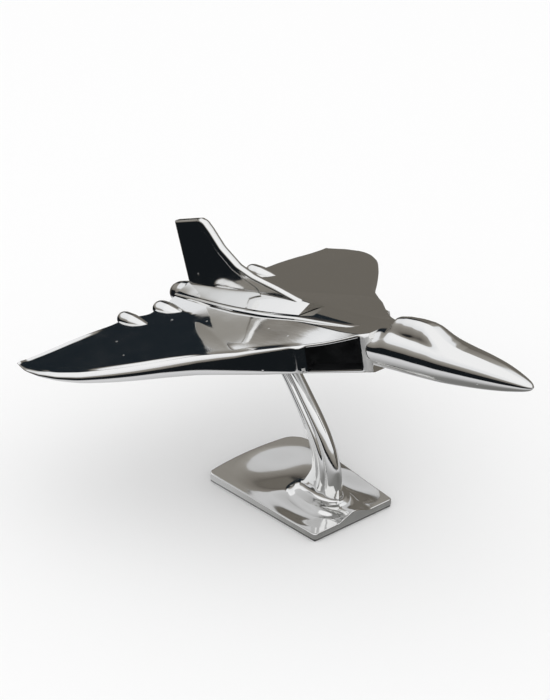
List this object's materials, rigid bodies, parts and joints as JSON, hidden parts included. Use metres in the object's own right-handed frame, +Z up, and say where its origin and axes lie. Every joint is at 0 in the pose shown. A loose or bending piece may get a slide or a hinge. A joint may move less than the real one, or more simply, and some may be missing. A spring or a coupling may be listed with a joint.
{
  "type": "desk model airplane",
  "caption": "Polished cast-metal delta-wing jet with a tall tail fin, turning on a curved arm above a dished wedge base.",
  "frame": {"origin": "centre of the underside of the pad below the base, on the surface the model stands on", "axes": "+X towards the nose end of the base, +Y to the jet's port side, +Z up"},
  "size_m": [0.3062, 0.2524, 0.1569],
  "materials": {
    "cast_aluminium": "mirror polished",
    "steel": "plain zinc-plated",
    "nylon": "natural",
    "felt": "pressed black felt"
  },
  "bodies": {
    "stand": {"arm": "cast_aluminium", "base": "cast_aluminium", "base_pad": "felt", "foot_screw_front": "steel", "foot_screw_rear": "steel", "foot_washer_front": "steel", "foot_washer_rear": "steel", "pivot_stud": "steel", "swivel_washer": "nylon"},
    "jet": {"airframe": "cast_aluminium", "tail_fin": "cast_aluminium", "dowel_front": "steel", "dowel_rear": "steel", "friction_bush": "nylon"}
  },
  "joints": [
    {"name": "swivel", "type": "hinge", "parent": "stand", "child": "jet", "pos_m": [-0.0252, 0, 0.0963], "axis": [-0.213, 0, 0.977], "continuous": true}
  ]
}
